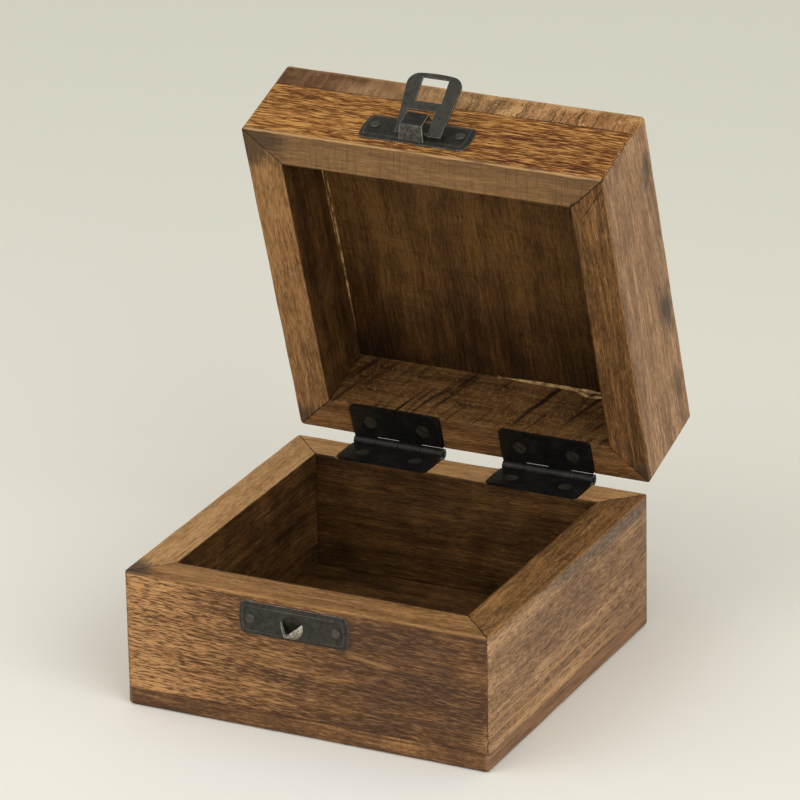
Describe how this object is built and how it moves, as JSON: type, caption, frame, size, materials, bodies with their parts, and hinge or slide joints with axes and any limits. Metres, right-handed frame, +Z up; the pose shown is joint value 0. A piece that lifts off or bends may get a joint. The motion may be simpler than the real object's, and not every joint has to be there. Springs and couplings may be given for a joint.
{
  "type": "hinged wooden keepsake box",
  "caption": "Small, nearly square wooden keepsake box with mitred walls, a hinged lid on black butt hinges and a black hasp latch, shown open.",
  "frame": {"origin": "middle of the underside of the base", "axes": "+X to the right along the front, +Y from the latch side to the hinge side, +Z up"},
  "size_m": [0.1, 0.1274, 0.1456],
  "materials": {
    "brown_wood": "oiled, open-pored, rubbed pale on the edges",
    "black_hinge_steel": "satin black",
    "gunmetal_latch": "blackened, worn bright on the edges"
  },
  "bodies": {
    "base": {"bottom_board": "brown_wood", "base_front_wall": "brown_wood", "base_right_wall": "brown_wood", "base_back_wall": "brown_wood", "base_left_wall": "brown_wood", "left_hinge_base_leaf": "black_hinge_steel", "right_hinge_base_leaf": "black_hinge_steel", "left_hinge_pin": "black_hinge_steel", "right_hinge_pin": "black_hinge_steel", "hinge_base_screws": "black_hinge_steel", "keeper_plate": "gunmetal_latch", "keeper_nails": "gunmetal_latch"},
    "lid": {"lid_top_board": "brown_wood", "lid_front_wall": "brown_wood", "lid_right_wall": "brown_wood", "lid_back_wall": "brown_wood", "lid_left_wall": "brown_wood", "left_hinge_lid_leaf": "black_hinge_steel", "right_hinge_lid_leaf": "black_hinge_steel", "hinge_lid_screws": "black_hinge_steel", "hasp_plate": "gunmetal_latch", "hasp_nails": "gunmetal_latch"},
    "clasp": {"hasp_clasp": "gunmetal_latch"}
  },
  "joints": [
    {"name": "lid_hinge", "type": "hinge", "parent": "base", "child": "lid", "pos_m": [0, 0.0498, 0.0366], "axis": [-1, 0, 0], "range_deg": [-72.4, 107.6]},
    {"name": "clasp_pivot", "type": "hinge", "parent": "lid", "child": "clasp", "pos_m": [-0.0022, 0.02493, 0.13352], "axis": [-1, 0, 0], "range_deg": [-153, 27]}
  ]
}
